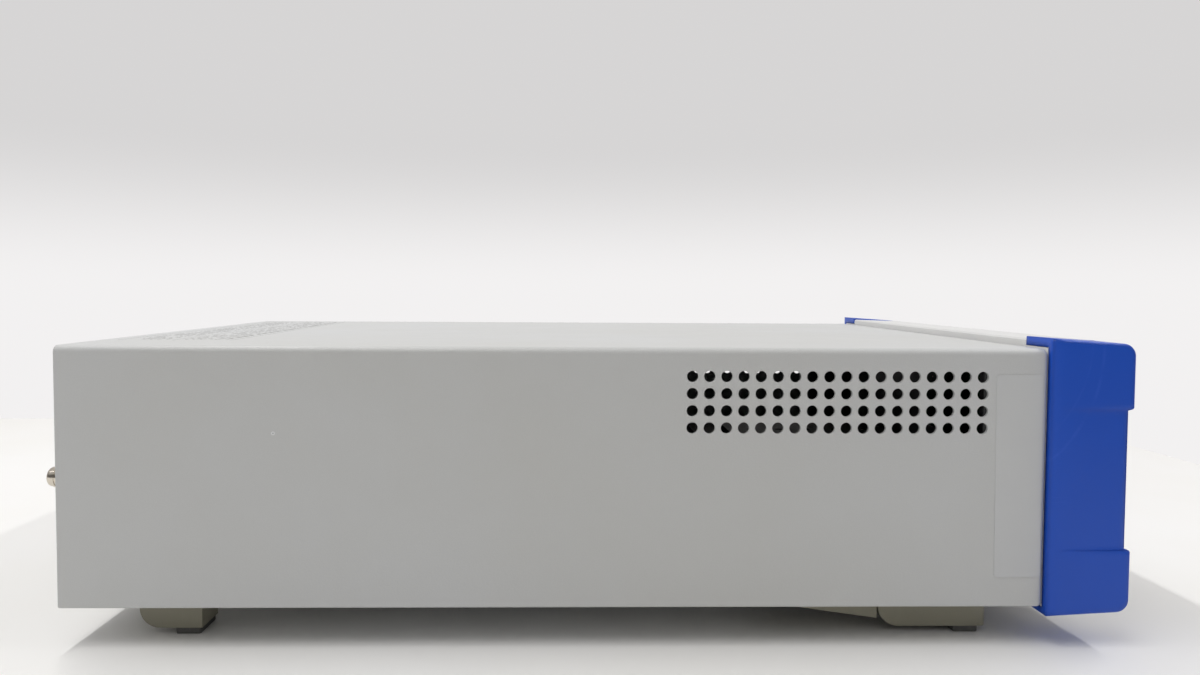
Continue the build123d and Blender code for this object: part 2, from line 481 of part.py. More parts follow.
board = bx(-97.0, 97.0, 68.0, 212.0, zv(BOARD_V), zv(BOARD_V + 1.6)) + bx(-60, 97.0, 6.0, 68.2, zv(BOARD_V), zv(BOARD_V + 1.6))
put("main_board", board)
BV = BOARD_V + 1.6
chips = []
for x, y, w, d, h in [(30, 110, 30, 30, 2.4), (-20, 120, 22, 22, 2.2), (70, 110, 14, 20, 2.0), (70, 150, 18, 12, 3.0), (-60, 110, 24, 14, 8.0),
                      (-60, 135, 24, 14, 8.0), (-60, 160, 24, 14, 8.0), (10, 170, 40, 8, 9.0), (-85, 190, 8, 30, 9.0), (60, 185, 24, 10, 6.0),
                      (-10, 101, 8, 18, 2.0), (4, 101, 8, 18, 2.0), (-85, 95, 10, 10, 3.5), (-85, 130, 9, 18, 2.2), (75, 60, 20, 20, 3.0),
                      (60, 32, 14, 14, 3.0), (85, 35, 8, 20, 5.0)]:
    chips.append(rbox(x - w / 2, x + w / 2, y - d / 2, y + d / 2, zv(BV), zv(BV + h), 0.6, Axis.Z))
for x, y, r, h in [(84, 130, 5, 16), (84, 145, 5, 16), (-32, 185, 6.3, 20), (-47, 190, 6.3, 20), (35, 150, 4, 11), (46, 150, 4, 11), (88, 170, 4, 11)]:
    chips.append(fillet(cz(x, y, r, zv(BV), zv(BV + h)).edges().sort_by(Axis.Z)[-1], 0.5))
# header of the flat cable
chips.append(rbox(54.0, 78.0, 12.0, 19.0, zv(BV), zv(17.6), 0.5, Axis.Z))
put("board_components", group(chips))
put("timebase_oven", rbox(52.0, 88.0, 73.0, 98.0, zv(BV), zv(BV + 20), 2.0, Axis.Z))

# tin-plated screening box over the input amplifiers, open underneath
sh0, sh1 = zv(BV), zv(42.0)
can = bx(-57.0, 44.0, 8.0, 88.0, sh0, sh1) - bx(-56.4, 43.4, 8.6, 87.4, sh0 - 1, sh1 - 0.6)
can -= [cy(x, zv(v), 4.0, 5, 12) for x, v in list(JACKS.values()) + [C_JACK]]
for x in (-40, -20, 0, 20):
    can -= [cz(x, y, 2.0, sh1 - 2, sh1 + 2) for y in (20, 34, 48, 62, 76)]
# prescaler and trigger board, upright beside the vents, with its own screen
side = bx(-93.0, -61.0, 12.0, 60.0, zv(4.6), zv(46.6)) - bx(-92.4, -61.6, 12.6, 59.4, zv(4.0), zv(46.0))
put("screening_cans", group([can, side]))

# power supply
psu = bx(-97.0, -25.0, 216.0, 314.0, zv(BOARD_V), zv(BOARD_V + 1.6))
put("power_supply_board", psu)
pc = [rbox(-72, -36, 256, 288, zv(BV), zv(BV + 27), 1.5, Axis.Z),
      fillet(cz(-82, 236, 11.0, zv(BV), zv(BV + 32)).edges().sort_by(Axis.Z)[-1], 1.0),
      fillet(cz(-40, 300, 6.5, zv(BV), zv(BV + 22)).edges().sort_by(Axis.Z)[-1], 0.8),
      fillet(cz(-56, 302, 6.5, zv(BV), zv(BV + 22)).edges().sort_by(Axis.Z)[-1], 0.8),
      bx(-90, -62, 298, 308, zv(BV), zv(BV + 14)),
      rbox(-62, -38, 222, 246, zv(BV), zv(BV + 16), 1.0, Axis.Z)]
put("power_supply_parts", group(pc))
sink = bx(-95, -92.5, 250, 296, zv(BV), zv(50))
for k in range(8):
    sink += bx(-92.6, -84.0, 251 + k * 6.0, 252.4 + k * 6.0, zv(BV + 2), zv(48))
put("heat_sink", sink)

# flat cable from the main board to the display board
cab = bx(56.0, 76.0, BOARD_Y1, BOARD_Y1 + 0.8, zv(24.0), zv(36.0)) + bx(56.0, 76.0, BOARD_Y1, 16.0, zv(24.0), zv(24.8)) \
    + bx(56.0, 76.0, 15.2, 16.0, zv(17.6), zv(24.8))
put("display_cable", cab)

# ---------------------------------------------------------------- feet
def front_foot():
    zlow = ZB - FOOT_H
    pts = [(14.2, ZB), (14.2, zlow), (PIVOT_Y, zlow), (PIVOT_Y, ZB)]
    f = yz_prism(pts, FOOT_X0, FOOT_X1)
    f += cx(PIVOT_Y, PIVOT_Z, PIVOT_R, FOOT_X0, FOOT_X1)
    f += bx(FOOT_X0, FOOT_X1, PIVOT_Y - 1, PIVOT_Y + PIVOT_R, PIVOT_Z, ZB)
    f = f & bx(FOOT_X0, FOOT_X1, 0, 100, zlow, ZB)
    f -= bx(86.0 - 3.6, 86.0 + 3.6, PIVOT_Y - 7.6, 80, zlow - 5, ZB - 0.9)      # slot for the leg's tongue
    f -= cx(PIVOT_Y, PIVOT_Z, PIN_R + 0.05, FOOT_X0 - 1.0, FOOT_X1 - 1.6)
    f -= cz(86.0, 30.0, 2.15, zlow - 5, ZB + 5)
    f -= cz(86.0, 30.0, 4.3, zlow - 5, zlow + 6.0)
    f -= bx(FOOT_X0 + 1.6, FOOT_X1 - 1.6, 16.9, 26.1 - 0.0, zlow - 1, zlow + 1.0)   # seat of the pad
    rim = f.edges().filter_by(Axis.Z).filter_by(lambda e: abs(e.center().Y - 14.2) < 1e-3)
    f = soft_fillet(f, rim, (1.5, 1.0))
    return f


def rear_foot():
    zlow = ZB - FOOT_H
    y0, y1 = 300.4, 322.8
    f = bx(FOOT_X0, FOOT_X1, y0, y1, zlow, ZB)
    low = f.edges().filter_by(Axis.X).filter_by(lambda e: e.center().Y > y1 - 0.1 and e.center().Z < zlow + 0.1)
    f = fillet(low, 7.2)
    f -= cz(86.0, 309.5, 2.15, zlow - 5, ZB + 5)
    f -= cz(86.0, 313.5 - 4.0, 4.3, zlow + 3.0, zlow + 6.0)
    f -= bx(FOOT_X0 + 1.6, FOOT_X1 - 1.6, y0 + 0.6, y0 + 9.9, zlow - 1, zlow + 1.0)
    return f


def leg():
    """Folded flat to the rear: a wedge that thins towards its free end, with a tongue and knuckle on the pin."""
    r0 = PIVOT_Y + PIVOT_R + 0.45
    pts = [(r0, ZB - 0.5), (r0, ZB - 8.6), (LEG_END - 1.2, ZB - 2.4), (LEG_END, ZB - 1.6), (LEG_END, ZB - 0.5)]
    body = yz_prism(pts, FOOT_X0, FOOT_X1)
    tongue = bx(86.0 - 3.3, 86.0 + 3.3, PIVOT_Y, r0 + 0.5, PIVOT_Z - KNUCKLE_R, PIVOT_Z + KNUCKLE_R) \
        + cx(PIVOT_Y, PIVOT_Z, KNUCKLE_R, 86.0 - 3.3, 86.0 + 3.3)
    l = body + tongue
    l -= cx(PIVOT_Y, PIVOT_Z, PIN_R + 0.05, 70, 100)
    # finger scoop under the free end, and a shallow groove along the underside
    l -= cx(LEG_END - 9.0, ZB - 10.6, 8.4, FOOT_X0 + 3.0, FOOT_X1 - 3.0)
    return l


ff = front_foot()
put("front_feet", group([ff, mirror_x(ff)]))
rf = rear_foot()
put("rear_feet", group([rf, mirror_x(rf)]))
lg = leg()
put("tilt_leg_right", lg)
put("tilt_leg_left", mirror_x(lg))
pin = cx(PIVOT_Y, PIVOT_Z, PIN_R, FOOT_X0 + 0.2, FOOT_X1 - 1.65)
put("leg_pins", group([pin, mirror_x(pin)]))
zlow = ZB - FOOT_H
pads = []
for y0 in (16.95, 301.05):
    pd = rbox(FOOT_X0 + 0.3, FOOT_X1 - 0.3, y0, y0 + 9.1, 0, zlow, 0.8, Axis.Z)
    pd = fillet(pd.faces().sort_by(Axis.Z)[0].edges(), 0.4)
    pd += rbox(FOOT_X0 + 1.7, FOOT_X1 - 1.7, y0, y0 + 9.1, zlow - 0.2, zlow + 1.0, 0.8, Axis.Z)
    pads += [pd, mirror_x(pd)]
put("foot_pads", group(pads))

# ---------------------------------------------------------------- fasteners
def pan_screw_y(x, z, y0, head_r, head_h, shank_r, shank_l, washers=()):
    """Pan head screw whose head faces +Y, seated on a plane at y0. washers lists (radius, thickness) from the seat out."""
    h0 = y0
    s = cy(x, z, shank_r, y0 - shank_l, y0 + 0.5)
    for r, t in washers:
        s += cy(x, z, r, h0, h0 + t)
        h0 += t
    head = cy(x, z, head_r, h0, h0 + head_h)
    head = fillet(head.edges().filter_by(GeomType.CIRCLE).sort_by(Axis.Y)[-1], head_h * 0.55)
    s += head
    for a in (0, 90):
        s -= Pos(x, h0 + head_h, z) * Rot(0, a, 0) * Box(head_r * 1.0, 2.2, 0.9)
    return s


fix = [pan_screw_y(sx * FIX_X, zv(FIX_V), CASE_L, 3.4, 2.1, 2.0, 8.0, ((4.0, 1.0), (3.55, 1.3), (3.75, 0.8))) for sx in (-1, 1)]
put("cover_screws", group(fix))
small = [pan_screw_y(fx + sx * 25, fz + sz * 25, GY + 1.6, 3.6, 2.2, 2.0, 10.0) for sx in (-1, 1) for sz in (-1, 1)]
small.append(pan_screw_y(GND_X, zv(GND_V), GY, 3.6, 2.4, 2.0, 8.0, ((4.5, 0.8), (3.9, 1.0))))
put("rear_panel_screws", group(small))
fs = []
for x, y in FOOT_SCREWS:
    fs.append(cz(x, y, 2.0, zlow + 6.0, ZB + 3.0) + cz(x, y, 3.8, zlow + 3.6, zlow + 6.0))
fs = [s - Pos(x, y, zlow + 3.6) * Box(4.0, 0.9, 2.0) - Pos(x, y, zlow + 3.6) * Box(0.9, 4.0, 2.0) for s, (x, y) in zip(fs, FOOT_SCREWS)]
put("foot_screws", group(fs))

# ---------------------------------------------------------------- export
if len(NODES) > 60:
    print("too many nodes:", len(NODES))
for name, shape in NODES.items():
    export_step(Pos(0, Y_SHIFT, 0) * shape, "parts/%s.step" % name)
print(len(NODES), "nodes, y shift", Y_SHIFT, "case bottom", ZB, "case top", ZT)
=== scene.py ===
import bpy
import bmesh
import math
import random
from mathutils import Vector, Matrix


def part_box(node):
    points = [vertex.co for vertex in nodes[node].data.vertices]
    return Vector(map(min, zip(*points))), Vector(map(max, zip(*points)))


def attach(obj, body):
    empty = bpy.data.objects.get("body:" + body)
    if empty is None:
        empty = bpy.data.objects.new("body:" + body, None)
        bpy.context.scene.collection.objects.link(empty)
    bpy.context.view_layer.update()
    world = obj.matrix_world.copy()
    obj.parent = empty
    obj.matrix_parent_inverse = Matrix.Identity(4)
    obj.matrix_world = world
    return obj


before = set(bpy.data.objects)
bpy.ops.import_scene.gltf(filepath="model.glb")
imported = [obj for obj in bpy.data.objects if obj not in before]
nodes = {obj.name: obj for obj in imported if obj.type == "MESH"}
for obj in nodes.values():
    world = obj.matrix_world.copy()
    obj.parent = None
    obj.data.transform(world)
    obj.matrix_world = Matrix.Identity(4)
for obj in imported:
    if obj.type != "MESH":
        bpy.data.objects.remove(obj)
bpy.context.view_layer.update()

MM = 0.001
scene = bpy.context.scene
rng = random.Random(74300)


# ------------------------------------------------------------------ node helpers
def srgb(r, g, b):
    """8-bit sRGB to linear."""
    def f(c):
        c /= 255.0
        return c / 12.92 if c <= 0.04045 else ((c + 0.055) / 1.055) ** 2.4
    return (f(r), f(g), f(b), 1.0)


class Mat:
    """A small builder for a Principled material with procedural inputs."""

    def __init__(self, name):
        self.m = bpy.data.materials.new(name)
        self.m.use_nodes = True
        self.nt = self.m.node_tree
        self.nt.nodes.clear()
        self.out = self.nt.nodes.new("ShaderNodeOutputMaterial")
        self.b = self.nt.nodes.new("ShaderNodeBsdfPrincipled")
        self.nt.links.new(self.b.outputs[0], self.out.inputs[0])
        self.co = self.nt.nodes.new("ShaderNodeTexCoord").outputs["Object"]
        self.normal = None

    def node(self, kind, inputs=None, **props):
        n = self.nt.nodes.new(kind)
        for k, v in props.items():
            setattr(n, k, v)
        for k, v in (inputs or {}).items():
            self.put(n.inputs[k], v)
        return n

    def put(self, socket, v):
        if isinstance(v, bpy.types.NodeSocket):
            self.nt.links.new(v, socket)
        else:
            socket.default_value = v

    def set(self, **kw):
        for k, v in kw.items():
            self.put(self.b.inputs[k.replace("_", " ")], v)
        return self

    def scaled(self, sx, sy, sz, co=None):
        return self.node("ShaderNodeMapping", {"Vector": co or self.co, "Scale": (sx, sy, sz)}).outputs[0]

    def noise(self, scale, detail=2.0, rough=0.5, co=None, dist=0.0):
        return self.node("ShaderNodeTexNoise", {"Vector": co or self.co, "Scale": scale, "Detail": detail, "Roughness": rough, "Distortion": dist}).outputs[0]

    def voronoi(self, scale, feature="F1", co=None, rand=1.0):
        return self.node("ShaderNodeTexVoronoi", {"Vector": co or self.co, "Scale": scale, "Randomness": rand}, feature=feature).outputs["Distance"]

    def ramp(self, fac, stops):
        r = self.node("ShaderNodeValToRGB", {"Fac": fac})
        e = r.color_ramp.elements
        while len(e) > 1:
            e.remove(e[-1])
        for i, (pos, c) in enumerate(stops):
            c = (c, c, c, 1.0) if isinstance(c, (int, float)) else c
            el = e[0] if i == 0 else e.new(pos)
            el.position = pos
            el.color = c
        return r.outputs[0]

    def remap(self, v, lo, hi, a, b):
        return self.node("ShaderNodeMapRange", {"Value": v, "From Min": lo, "From Max": hi, "To Min": a, "To Max": b}).outputs[0]

    def math(self, op, a, b=0.0, clamp=False):
        n = self.node("ShaderNodeMath", operation=op)
        n.use_clamp = clamp
        self.put(n.inputs[0], a)
        self.put(n.inputs[1], b)
        return n.outputs[0]

    def mix(self, fac, a, b, blend="MIX"):
        n = self.node("ShaderNodeMix", data_type="RGBA", blend_type=blend)
        self.put(n.inputs[0], fac)
        self.put(n.inputs[6], a)
        self.put(n.inputs[7], b)
        return n.outputs[2]

    def bump(self, height, dist, strength=1.0):
        n = self.node("ShaderNodeBump", {"Height": height, "Distance": dist, "Strength": strength})
        if self.normal is not None:
            self.put(n.inputs["Normal"], self.normal)
        self.normal = n.outputs[0]
        self.put(self.b.inputs["Normal"], self.normal)
        return self

    def soften(self, radius, samples=6):
        """Rounds the shading of sharp edges by that radius."""
        n = self.node("ShaderNodeBevel", {"Radius": radius}, samples=samples)
        if self.normal is not None:
            self.put(n.inputs["Normal"], self.normal)
        self.normal = n.outputs[0]
        self.put(self.b.inputs["Normal"], self.normal)
        return self

    def edges(self, radius, gain=3.0, samples=6):
        """1 on convex and concave edges within the radius, 0 elsewhere."""
        bev = self.node("ShaderNodeBevel", {"Radius": radius}, samples=samples).outputs[0]
        geo = self.node("ShaderNodeNewGeometry").outputs["Normal"]
        dot = self.node("ShaderNodeVectorMath", {0: bev, 1: geo}, operation="DOT_PRODUCT").outputs["Value"]
        return self.math("MULTIPLY", self.math("SUBTRACT", 1.0, dot), gain, clamp=True)

    def split(self):
        s = self.node("ShaderNodeSeparateXYZ", {0: self.co})
        return s.outputs[0], s.outputs[1], s.outputs[2]

    def near(self, point, r0, r1):
        """1 within r0 of the point, falling to 0 at r1."""
        d = self.node("ShaderNodeVectorMath", {0: self.co, 1: point}, operation="DISTANCE").outputs["Value"]
        return self.node("ShaderNodeMapRange", {"Value": d, "From Min": r0, "From Max": r1, "To Min": 1.0, "To Max": 0.0}).outputs[0]


def varied(m, base, amount=0.03, scale=9.0, tint=(1.0, 0.99, 0.96)):
    """Base colour with a broad and a fine drift."""
    dark = tuple(c * (1 - amount) * t for c, t in zip(base[:3], tint)) + (1.0,)
    light = tuple(min(1.0, c * (1 + amount)) for c in base[:3]) + (1.0,)
    f = m.remap(m.noise(scale, 4, 0.6), 0.3, 0.7, 0.0, 1.0)
    return m.mix(f, dark, light)


# ------------------------------------------------------------------ materials
def paint(name, base, specks=0.05, chip=None):
    """Powder coat: fine orange peel, faint speckle, bends lighter in colour: partly thinner coat, partly a painted
    highlight.
    """
    m = Mat(name)
    col = varied(m, base, 0.018, 7.0)
    grain = m.noise(2600, 2, 0.55)
    col = m.mix(m.remap(grain, 0.35, 0.65, 0.0, 1.0), m.mix(1.0, col, (1 - specks, 1 - specks, 1 - specks, 1), "MULTIPLY"), col)
    # bends lightened in patches in the base colour: partly thinner coat, partly a painted highlight standing in for the
    # sheen along the bends
    edge = m.edges(0.0011, 2.2)
    col = m.mix(m.math("MULTIPLY", edge, m.remap(m.noise(60, 4, 0.7), 0.35, 0.7, 0.0, 0.28)), col, tuple(min(1, c * 1.25) for c in base[:3]) + (1,))
    dust = m.remap(m.noise(420, 6, 0.75), 0.62, 0.78, 0.0, 0.10)
    col = m.mix(dust, col, (0.72, 0.70, 0.66, 1))
    if chip is not None:
        ring = m.near(chip, 0.00035, 0.0008)
        core = m.near(chip, 0.0002, 0.0004)
        col = m.mix(ring, col, tuple(min(1, c * 1.45) for c in base[:3]) + (1,))
        col = m.mix(core, col, tuple(c * 0.75 for c in base[:3]) + (1,))
    m.set(Base_Color=col, Metallic=0.0)
    m.put(m.b.inputs["Roughness"], m.remap(m.noise(35, 5, 0.65), 0.3, 0.7, 0.42, 0.52))
    m.put(m.b.inputs["Specular IOR Level"], 0.42)
    peel = m.math("ADD", m.math("MULTIPLY", m.noise(1500, 2, 0.5), 1.0), m.math("MULTIPLY", m.noise(4200, 2, 0.5), 0.45))
    m.bump(peel, 0.00007, 0.55)
    m.bump(m.noise(14, 2, 0.5), 0.0004, 0.12)
    return m.m


def moulded(name, base, rough=(0.38, 0.50), spec=0.5, grain=2200, depth=0.00003, strength=0.5, edge_wear_and_highlight=0.25, scuffs=0.0, sub=0.0, amount=0.03,
            coat=0.0, arcs=None, soft=0.0):
    """Injection moulded plastic: spark-eroded grain, soft edges, scuffs, and lighter edges: handling wear, and on the
    dark subpanel a painted highlight.
    """
    m = Mat(name)
    col = varied(m, base, amount, 11.0, (0.99, 0.99, 1.0))
    edge = m.edges(0.0012, 2.0)
    pale = tuple(min(1.0, c * 1.2 + 0.03) for c in base[:3]) + (1,)
    # edges lightened in patches: handling wear, and for the dark subpanel a painted highlight of its lit edge
    col = m.mix(m.math("MULTIPLY", edge, m.remap(m.noise(90, 5, 0.7), 0.42, 0.7, 0.0, edge_wear_and_highlight)), col, pale)
    r = m.remap(m.noise(26, 5, 0.65), 0.3, 0.7, rough[0], rough[1])
    peel = m.noise(grain, 3, 0.55)
    if scuffs > 0:
        # long fine scratches in two directions, broken up by a broad mask
        s1 = m.noise(1.0, 2, 0.5, co=m.scaled(60, 900, 34), dist=0.6)
        s2 = m.noise(1.0, 2, 0.5, co=m.scaled(60, 46, 1100), dist=0.5)
        line = m.math("MAXIMUM", m.remap(s1, 0.66, 0.72, 0.0, 1.0), m.remap(s2, 0.67, 0.73, 0.0, 1.0))
        mask = m.remap(m.noise(22, 3, 0.6), 0.45, 0.62, 0.0, 1.0)
        line = m.math("MULTIPLY", line, mask, clamp=True)
        col = m.mix(m.math("MULTIPLY", line, scuffs), col, tuple(min(1.0, c * 1.35 + 0.05) for c in base[:3]) + (1,))
        r = m.math("ADD", r, m.math("MULTIPLY", line, 0.12))
    for centre, radius, width, gain in (arcs or []):
        # one long curved rub mark
        d = m.node("ShaderNodeVectorMath", {0: m.co, 1: centre}, operation="DISTANCE").outputs["Value"]
        off = m.math("ABSOLUTE", m.math("SUBTRACT", d, radius))
        band = m.node("ShaderNodeMapRange", {"Value": off, "From Min": 0.0, "From Max": width, "To Min": 1.0, "To Max": 0.0}).outputs[0]
        band = m.math("MULTIPLY", band, m.remap(m.noise(140, 3, 0.6), 0.4, 0.6, 0.15, 1.0), clamp=True)
        near = m.near((centre[0], centre[1], centre[2]), radius, radius + 0.02)
        col = m.mix(m.math("MULTIPLY", band, gain), col, tuple(min(1.0, c * 1.3 + 0.06) for c in base[:3]) + (1,))
    m.set(Base_Color=col)
    m.put(m.b.inputs["Roughness"], r)
    m.put(m.b.inputs["Specular IOR Level"], spec)
    if coat:
        m.put(m.b.inputs["Coat Weight"], coat)
        m.put(m.b.inputs["Coat Roughness"], 0.2)
    if sub:
        m.put(m.b.inputs["Subsurface Weight"], sub)
        m.put(m.b.inputs["Subsurface Radius"], (0.0006, 0.0006, 0.0006))
    if soft:
        m.soften(soft, 8)
    m.bump(peel, depth, strength)
    m.bump(m.noise(30, 3, 0.5), 0.0002, 0.10)
    return m.m


def plated(name, base, rough=(0.12, 0.28), turned=False, tarnish=0.35):
    """Plated metal: fine polishing marks, faint tarnish."""
    m = Mat(name)
    t = m.remap(m.noise(160, 5, 0.7), 0.45, 0.75, 0.0, tarnish)
    col = m.mix(t, base, tuple(c * k for c, k in zip(base[:3], (0.62, 0.56, 0.48))) + (1,))
    m.set(Base_Color=col, Metallic=1.0)
    m.put(m.b.inputs["Roughness"], m.remap(m.noise(500, 4, 0.7), 0.3, 0.7, rough[0], rough[1]))
    fine = m.noise(1.0, 2, 0.5, co=m.scaled(300, 5200 if turned else 300, 5200 if not turned else 300))
    m.bump(fine, 0.00001, 0.35)
    return m.m


def sheet_metal(name, base, rough=(0.30, 0.46), spangle=False):
    m = Mat(name)
    cells = m.node("ShaderNodeTexVoronoi", {"Vector": m.co, "Scale": 190.0 if spangle else 900.0}).outputs["Color"]
    grey = m.node("ShaderNodeRGBToBW", {0: cells}).outputs[0]
    col = m.mix(m.remap(grey, 0.2, 0.8, 0.0, 1.0), tuple(c * 0.86 for c in base[:3]) + (1,), base)
    m.set(Base_Color=col, Metallic=1.0)
    m.put(m.b.inputs["Roughness"], m.remap(grey, 0.1, 0.9, rough[0], rough[1]))
    m.bump(m.noise(1.0, 2, 0.6, co=m.scaled(2400, 120, 2400)), 0.00001, 0.4)
    return m.m


def board(name, base):
    """Circuit board: solder resist over routed copper, with small pads."""
    m = Mat(name)
    tracks = m.node("ShaderNodeTexBrick", {"Vector": m.scaled(1, 1, 1), "Scale": 90.0, "Mortar Size": 0.03, "Color1": (1, 1, 1, 1), "Color2": (0.7, 0.7, 0.7, 1),
                                           "Mortar": (0, 0, 0, 1), "Brick Width": 0.9, "Row Height": 0.16}, offset=0.37).outputs[1]
    pads = m.remap(m.voronoi(380), 0.12, 0.16, 1.0, 0.0)
    masked = m.math("MULTIPLY", pads, m.remap(m.noise(40, 2, 0.5), 0.48, 0.52, 0.0, 1.0), clamp=True)
    col = m.mix(m.remap(tracks, 0.0, 1.0, 0.0, 0.55), varied(m, base, 0.10, 30), tuple(c * 1.7 + 0.01 for c in base[:3]) + (1,))
    col = m.mix(masked, col, (0.62, 0.60, 0.52, 1))
    m.set(Base_Color=col)
    m.put(m.b.inputs["Metallic"], m.math("MULTIPLY", masked, 0.9))
    m.put(m.b.inputs["Roughness"], m.remap(m.noise(70, 3), 0.3, 0.7, 0.25, 0.42))
    m.bump(tracks, 0.00003, 0.6)
    return m.m


def rubber(name, base):
    m = Mat(name)
    col = m.mix(m.remap(m.noise(700, 5, 0.7), 0.5, 0.72, 0.0, 0.35), varied(m, base, 0.07, 60), tuple(min(1, c * 1.7 + 0.03) for c in base[:3]) + (1,))
    m.set(Base_Color=col)
    m.put(m.b.inputs["Roughness"], m.remap(m.noise(160, 4), 0.3, 0.7, 0.72, 0.86))
    m.put(m.b.inputs["Specular IOR Level"], 0.3)
    m.bump(m.noise(3000, 3, 0.6), 0.00005, 0.6)
    return m.m


def ink(name, base, rough=0.5):
    """Screen-printed ink with slightly broken edges and thickness."""
    m = Mat(name)
    m.set(Base_Color=varied(m, base, 0.12, 240))
    m.put(m.b.inputs["Roughness"], m.remap(m.noise(900, 3), 0.3, 0.7, rough - 0.08, rough + 0.08))
    m.bump(m.noise(5000, 2, 0.5), 0.00001, 0.5)
    return m.m


def glassy(name, tint, alpha):
    m = Mat(name)
    m.set(Base_Color=varied(m, tint, 0.02, 18))
    m.put(m.b.inputs["Transmission Weight"], alpha)
    m.put(m.b.inputs["IOR"], 1.49)
    m.put(m.b.inputs["Roughness"], m.remap(m.noise(45, 4, 0.6), 0.35, 0.75, 0.015, 0.06))
    m.bump(m.noise(9, 2, 0.5), 0.00004, 0.2)
    return m.m


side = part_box("cover_sleeve")
CHIP = (side[0].x, side[1].y - 0.0747, side[1].z - 0.0302)
COVER = (0.574, 0.583, 0.586, 1)
BLUE = (0.009, 0.078, 0.515, 1)
WHITE = (0.70, 0.70, 0.69, 1)
bl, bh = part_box("bumper_left")

MATS = {
    "cover": paint("cover_powder_coat", COVER, 0.035, CHIP),
    "panel": paint("rear_panel_coat", (0.52, 0.525, 0.525, 1), 0.03),
    "label": moulded("label_film", (0.568, 0.577, 0.580, 1), (0.36, 0.46), 0.4, 1700, 0.00002, 0.4, 0.05),
    "blue": moulded("blue_moulding", BLUE, (0.30, 0.40), 0.36, 1500, 0.000035, 0.45, 0.22, 0.16, amount=0.035,
                    arcs=[((bl.x, bl.y + 0.062, bh.z - 0.004), 0.0505, 0.0009, 0.16), ((bl.x, bl.y + 0.060, bh.z - 0.001), 0.0445, 0.0006, 0.10)], soft=0.0032),
    "white": moulded("bezel_moulding", WHITE, (0.40, 0.50), 0.45, 1900, 0.00003, 0.45, 0.10, 0.03),
    "key": moulded("keycap", (0.30, 0.32, 0.35, 1), (0.42, 0.52), 0.45, 2400, 0.00003, 0.6, 0.25),
    "foot": moulded("foot_moulding", (0.292, 0.278, 0.212, 1), (0.46, 0.60), 0.4, 1400, 0.00005, 0.7, 0.30, 0.10, amount=0.06),
    "black": moulded("black_moulding", (0.018, 0.018, 0.019, 1), (0.38, 0.52), 0.5, 1800, 0.00004, 0.6, 0.30, 0.05),
    "insulator": moulded("dielectric", (0.80, 0.79, 0.74, 1), (0.35, 0.45), 0.45, 2600, 0.00002, 0.4, 0.05, sub=0.2),
    "nickel": plated("nickel_plate", (0.66, 0.61, 0.53, 1), (0.10, 0.24), True),
    "zinc": plated("zinc_plate", (0.56, 0.57, 0.58, 1), (0.26, 0.42), False),
    "gold": plated("gold_plate", (0.90, 0.64, 0.24, 1), (0.14, 0.26), True, 0.2),
    "tin": sheet_metal("tin_plate", (0.24, 0.235, 0.225, 1), (0.42, 0.58), False),
    "galv": sheet_metal("galvanised_sheet", (0.60, 0.61, 0.62, 1), (0.32, 0.50), True),
    "fins": sheet_metal("extruded_aluminium", (0.74, 0.74, 0.75, 1), (0.28, 0.42), False),
    "board": board("circuit_board", (0.012, 0.10, 0.035, 1)),
    "rubber": rubber("pad_rubber", (0.115, 0.115, 0.110, 1)),
    "mat": rubber("silicone_mat", (0.42, 0.42, 0.41, 1)),
    "lens": moulded("indicator_lens", (0.10, 0.34, 0.12, 1), (0.12, 0.2), 0.5, 900, 0.00001, 0.2, 0.0, sub=0.3),
    "window": glassy("display_window", (0.93, 0.95, 0.93, 1), 0.92),
    "lcd": moulded("display_glass", (0.26, 0.33, 0.24, 1), (0.16, 0.24), 0.5, 3200, 0.00001, 0.25, 0.0, amount=0.05),
    "chip": moulded("component_packages", (0.030, 0.030, 0.032, 1), (0.40, 0.60), 0.45, 2600, 0.00003, 0.5, 0.1, amount=0.15),
    "cable": moulded("flat_cable", (0.36, 0.36, 0.37, 1), (0.45, 0.6), 0.35, 800, 0.00006, 0.8, 0.0),
    # dark grey subpanel; its strong edge lightening is a painted highlight standing in for the lit flange edge seen
    # through the vents
    "flange": moulded("dark_subpanel", (0.055, 0.056, 0.058, 1), (0.40, 0.55), 0.45, 1500, 0.00003, 0.5, 0.75),
    "ink_dark": ink("dark_ink", (0.055, 0.056, 0.060, 1)),
    "ink_blue": ink("blue_ink", (0.03, 0.09, 0.36, 1)),
    "ink_white": ink("white_ink", (0.78, 0.78, 0.77, 1)),
    "ink_grey": ink("grey_ink", (0.235, 0.235, 0.232, 1), 0.55),
    "segment": ink("display_segment", (0.020, 0.026, 0.022, 1), 0.3),
}

